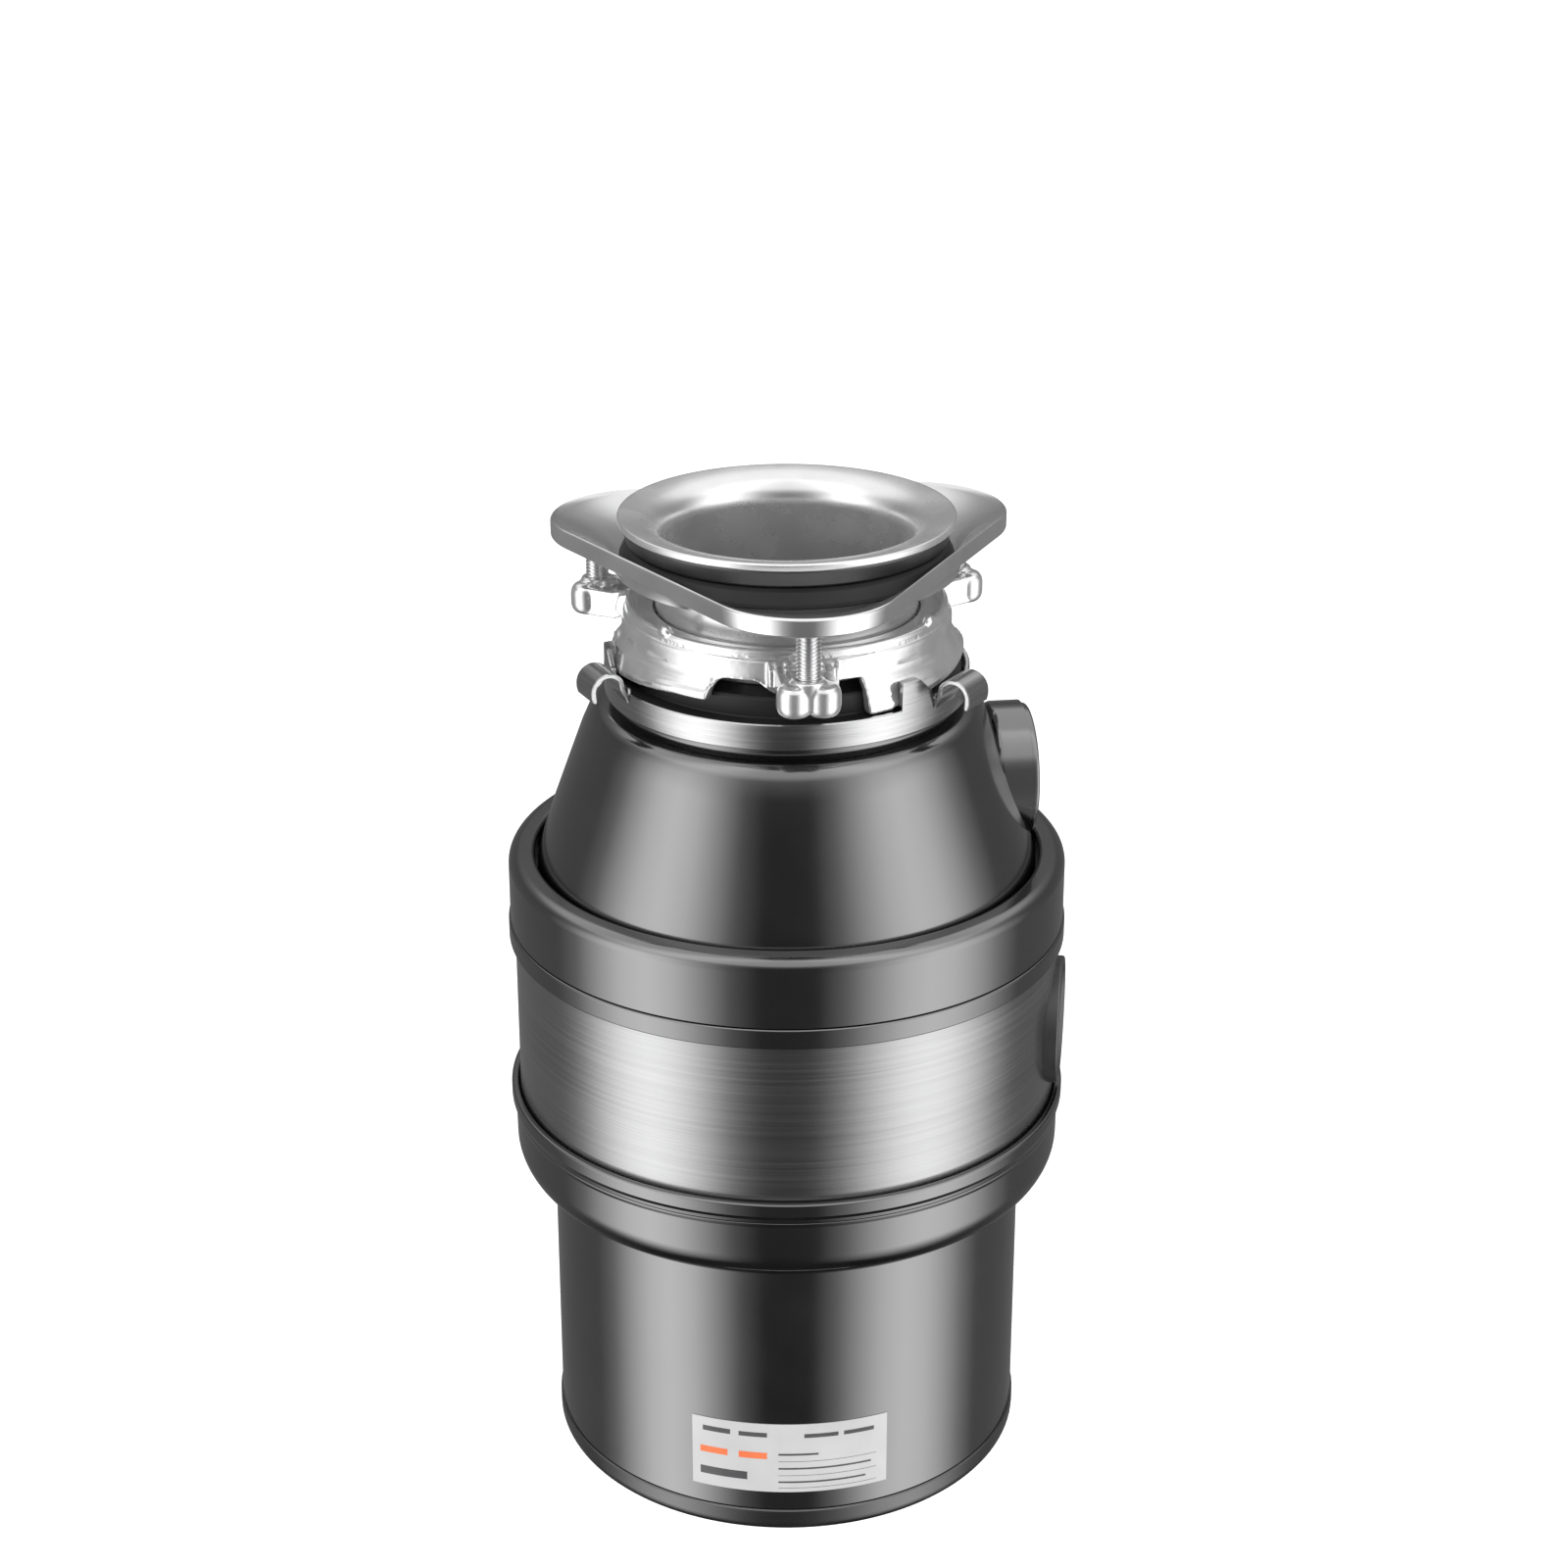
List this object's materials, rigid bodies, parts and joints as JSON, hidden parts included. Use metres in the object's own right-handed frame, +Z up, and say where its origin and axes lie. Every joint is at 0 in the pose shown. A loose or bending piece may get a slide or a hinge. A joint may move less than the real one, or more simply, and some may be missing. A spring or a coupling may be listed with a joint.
{
  "type": "food waste disposer",
  "caption": "Continuous-feed under-sink food waste disposer with three-screw sink mount, twist-lock ring, brushed band, side outlet and brushed DC motor inside.",
  "frame": {"origin": "on the motor and throat axis, at the base plane of the bottom cover", "axes": "+Z up along the motor axis towards the sink, +X along the discharge outlet"},
  "size_m": [0.1978, 0.1978, 0.3498],
  "materials": {
    "polished_steel": "polished",
    "cast_zinc": "polished cast",
    "brushed_steel": "brushed",
    "stainless": "satin",
    "gloss_black": "gloss",
    "satin_black": "satin",
    "black_paint": "gloss",
    "rubber": "satin",
    "label": "satin",
    "grey_plastic": "matte",
    "steel": "machined",
    "aluminium": "cast",
    "copper": "enamelled",
    "ferrite": "matte",
    "graphite": "matte",
    "red_plastic": "gloss",
    "green_board": "satin",
    "foam": "matte"
  },
  "bodies": {
    "unit": {"sink_flange": "polished_steel", "sink_gasket": "rubber", "snap_ring": "steel", "mounting_ring": "cast_zinc", "mounting_gasket": "rubber", "splash_guard": "rubber", "hopper": "gloss_black", "upper_shell": "gloss_black", "upper_trim_ring": "gloss_black", "steel_band": "brushed_steel", "lower_trim_ring": "gloss_black", "lower_shell": "gloss_black", "motor_can": "black_paint", "bottom_cover": "gloss_black", "rating_label": "label", "discharge_chamber": "grey_plastic", "chamber_gasket": "rubber", "chamber_screws": "steel", "grind_ring": "stainless", "discharge_port_rim": "rubber", "sound_foam": "foam", "end_frame": "aluminium", "upper_bearing_outer": "steel", "lower_end_bell": "aluminium", "lower_bearing_outer": "steel", "shaft_seal": "rubber", "yoke": "steel", "magnets": "ferrite", "through_bolts": "steel", "cover_screws": "steel", "control_board": "green_board", "overload_protector": "grey_plastic", "cable_gland": "satin_black", "brush_holder_a": "grey_plastic", "brush_holder_b": "grey_plastic", "brush_spring_a": "steel", "brush_spring_b": "steel"},
    "rotor": {"shaft": "steel", "turntable": "stainless", "turntable_nut": "steel", "impeller_rivets": "stainless", "armature_core": "steel", "armature_windings": "copper", "commutator": "copper", "upper_bearing_inner": "steel", "lower_bearing_inner": "steel"},
    "impeller_a_body": {"impeller_a": "stainless"},
    "impeller_b_body": {"impeller_b": "stainless"},
    "lock_ring_body": {"lock_ring": "brushed_steel"},
    "backup_flange_body": {"backup_flange": "polished_steel", "fibre_gasket": "rubber"},
    "screw_a": {"mounting_screw_a": "steel"},
    "screw_b": {"mounting_screw_b": "steel"},
    "screw_c": {"mounting_screw_c": "steel"},
    "reset_button_body": {"reset_button": "red_plastic"},
    "dishwasher_cap_body": {"dishwasher_cap": "gloss_black"},
    "brush_a_body": {"brush_a": "graphite"},
    "brush_b_body": {"brush_b": "graphite"}
  },
  "joints": [
    {"name": "rotor_spin", "type": "hinge", "parent": "unit", "child": "rotor", "pos_m": [0, 0, 0.1], "axis": [0, 0, 1], "continuous": true},
    {"name": "impeller_a_swing", "type": "hinge", "parent": "rotor", "child": "impeller_a_body", "pos_m": [0.044, 0, 0.197], "axis": [0, 0, 1], "continuous": true},
    {"name": "impeller_b_swing", "type": "hinge", "parent": "rotor", "child": "impeller_b_body", "pos_m": [-0.044, 0, 0.197], "axis": [0, 0, 1], "continuous": true},
    {"name": "lock_ring_twist", "type": "hinge", "parent": "unit", "child": "lock_ring_body", "pos_m": [0, 0, 0.29], "axis": [0, 0, 1], "range_deg": [-20.5, 0]},
    {"name": "backup_flange_travel", "type": "slide", "parent": "unit", "child": "backup_flange_body", "axis": [0, 0, 1], "range_m": [-0.008, 0]},
    {"name": "screw_a_turn", "type": "hinge", "parent": "backup_flange_body", "child": "screw_a", "pos_m": [0.01705, -0.07047, 0.32], "axis": [0, 0, 1], "range_deg": [-2310, 0]},
    {"name": "screw_b_turn", "type": "hinge", "parent": "backup_flange_body", "child": "screw_b", "pos_m": [0.0525, 0.05, 0.32], "axis": [0, 0, 1], "range_deg": [-2310, 0]},
    {"name": "screw_c_turn", "type": "hinge", "parent": "backup_flange_body", "child": "screw_c", "pos_m": [-0.06955, 0.02047, 0.32], "axis": [0, 0, 1], "range_deg": [-2310, 0]},
    {"name": "reset_button_travel", "type": "slide", "parent": "unit", "child": "reset_button_body", "axis": [0, 0, -1], "range_m": [0, 0.0027]},
    {"name": "dishwasher_cap_pull", "type": "slide", "parent": "unit", "child": "dishwasher_cap_body", "axis": [0.9636, 0.2672, 0], "range_m": [0, 0.02]},
    {"name": "brush_a_travel", "type": "slide", "parent": "unit", "child": "brush_a_body", "axis": [1, 0, 0], "range_m": [0, 0.004], "stiffness_N_per_m": 150, "springref_m": -0.006, "deforming": ["brush_spring_a"]},
    {"name": "brush_b_travel", "type": "slide", "parent": "unit", "child": "brush_b_body", "axis": [-1, 0, 0], "range_m": [0, 0.004], "stiffness_N_per_m": 150, "springref_m": -0.006, "deforming": ["brush_spring_b"]}
  ],
  "couplings": [
    {"joint": "screw_a_turn", "follows": "backup_flange_travel", "rad_per_m": 5026.5},
    {"joint": "screw_b_turn", "follows": "backup_flange_travel", "rad_per_m": 5026.5},
    {"joint": "screw_c_turn", "follows": "backup_flange_travel", "rad_per_m": 5026.5}
  ]
}
